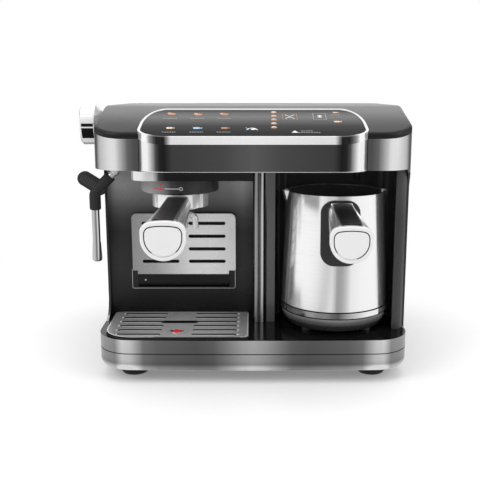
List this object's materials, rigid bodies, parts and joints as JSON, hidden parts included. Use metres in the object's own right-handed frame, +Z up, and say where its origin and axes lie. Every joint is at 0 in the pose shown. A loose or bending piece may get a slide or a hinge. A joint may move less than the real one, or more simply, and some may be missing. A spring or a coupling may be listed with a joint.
{
  "type": "combined espresso and turkish coffee maker",
  "caption": "Electric coffee maker with a brew group and portafilter on the left, a Turkish coffee pot in a bay on the right, a steam wand and a sloping touch panel.",
  "frame": {"origin": "on the worktop, under the centre of the body's footprint", "axes": "+X to the machine's right as seen from the front, -Y to the front, +Z up"},
  "size_m": [0.3643, 0.427, 0.296],
  "materials": {
    "dark_satin": "satin dark grey",
    "black_gloss": "glossy black",
    "black_matte": "matte black",
    "silver_skin": "brushed, vertical light",
    "dark_steel": "dark brushed",
    "fascia_metal": "dark metallic",
    "chrome": "polished",
    "steel": "brushed",
    "panel_glass": "black glass",
    "clear_tank": "clear plastic",
    "rubber": "matt rubber",
    "grey_post": "satin grey",
    "aluminium": "cast",
    "brass": "machined",
    "board_green": "circuit board",
    "signal_red": "satin red",
    "cap_white": "pearl white with chrome rim",
    "silicone": "translucent silicone"
  },
  "bodies": {
    "housing": {"base_pan": "black_matte", "base_lower_band": "dark_steel", "base_upper_band": "dark_steel", "base_deck": "black_gloss", "feet": "rubber", "foot_screws": "steel", "tower_front_panel": "dark_satin", "shelf_hinge_pins": "steel", "pillar_trim": "chrome", "pot_bay_liner": "black_gloss", "right_wall": "grey_post", "left_side_skin": "silver_skin", "right_side_skin": "silver_skin", "rear_cover": "black_matte", "head_fascia": "fascia_metal", "head_ring": "chrome", "touch_panel": "panel_glass", "control_board": "board_green", "top_cover": "dark_satin", "head_underside": "black_gloss", "group_collar": "dark_satin", "group_head": "chrome", "group_gasket": "silicone", "shower_screen": "steel", "brew_boiler": "aluminium", "pump": "black_matte", "steam_valve": "brass", "hoses": "silicone", "pot_fill_nozzle": "black_gloss", "pot_dock": "black_matte", "power_board": "board_green", "power_inlet": "rubber", "wand_socket": "black_gloss"},
    "knob": {"steam_knob": "chrome", "knob_spindle": "brass"},
    "wand_swivel": {"wand_collar": "black_gloss"},
    "wand": {"wand_tube": "steel", "wand_grip": "rubber", "wand_nozzle": "steel"},
    "portafilter": {"portafilter_body": "chrome", "filter_basket": "steel", "portafilter_spout": "chrome", "portafilter_handle": "chrome", "portafilter_inlay": "dark_satin", "portafilter_end_cap": "cap_white"},
    "tray": {"drip_tray": "black_matte"},
    "grid": {"drip_grid": "steel"},
    "float": {"float_indicator": "signal_red"},
    "shelf": {"cup_shelf": "steel", "shelf_bar": "black_gloss"},
    "pot": {"pot_body": "steel", "pot_ring": "chrome", "pot_base": "dark_satin", "pot_heater": "aluminium", "pot_handle_plate": "dark_satin", "pot_handle": "chrome", "pot_inlay": "dark_satin", "pot_end_cap": "cap_white"},
    "tank": {"water_tank": "clear_tank"},
    "lid": {"tank_lid": "dark_satin"}
  },
  "joints": [
    {"name": "steam_knob_turn", "type": "hinge", "parent": "housing", "child": "knob", "pos_m": [-0.17, -0.045, 0.273], "axis": [-1, 0, 0], "range_deg": [0, 270]},
    {"name": "wand_swing", "type": "hinge", "parent": "housing", "child": "wand_swivel", "pos_m": [-0.15, -0.1, 0.225], "axis": [0, 0, 1], "range_deg": [-25, 72]},
    {"name": "wand_tilt", "type": "hinge", "parent": "wand_swivel", "child": "wand", "pos_m": [-0.15, -0.1, 0.225], "axis": [0, 1, 0], "range_deg": [-10, 5]},
    {"name": "portafilter_turn", "type": "hinge", "parent": "housing", "child": "portafilter", "pos_m": [-0.0792, -0.1, 0.2], "axis": [0, 0, 1], "range_deg": [-45, 0]},
    {"name": "tray_lift", "type": "slide", "parent": "housing", "child": "tray", "axis": [0, 0, 1], "range_m": [0, 0.022]},
    {"name": "grid_lift", "type": "slide", "parent": "tray", "child": "grid", "axis": [0, 0, 1], "range_m": [0, 0.008]},
    {"name": "float_rise", "type": "slide", "parent": "tray", "child": "float", "axis": [0, 0, 1], "range_m": [0, 0.006]},
    {"name": "shelf_fold", "type": "hinge", "parent": "housing", "child": "shelf", "pos_m": [-0.08, -0.0495, 0.0934], "axis": [1, 0, 0], "range_deg": [0, 90]},
    {"name": "pot_pull", "type": "slide", "parent": "housing", "child": "pot", "axis": [0, -1, 0], "range_m": [0, 0.18]},
    {"name": "tank_lift", "type": "slide", "parent": "housing", "child": "tank", "axis": [0, 0, 1], "range_m": [0, 0.24]},
    {"name": "tank_lid_open", "type": "hinge", "parent": "tank", "child": "lid", "pos_m": [0, 0.1403, 0.28945], "axis": [-1, 0, 0], "range_deg": [0, 95]}
  ]
}
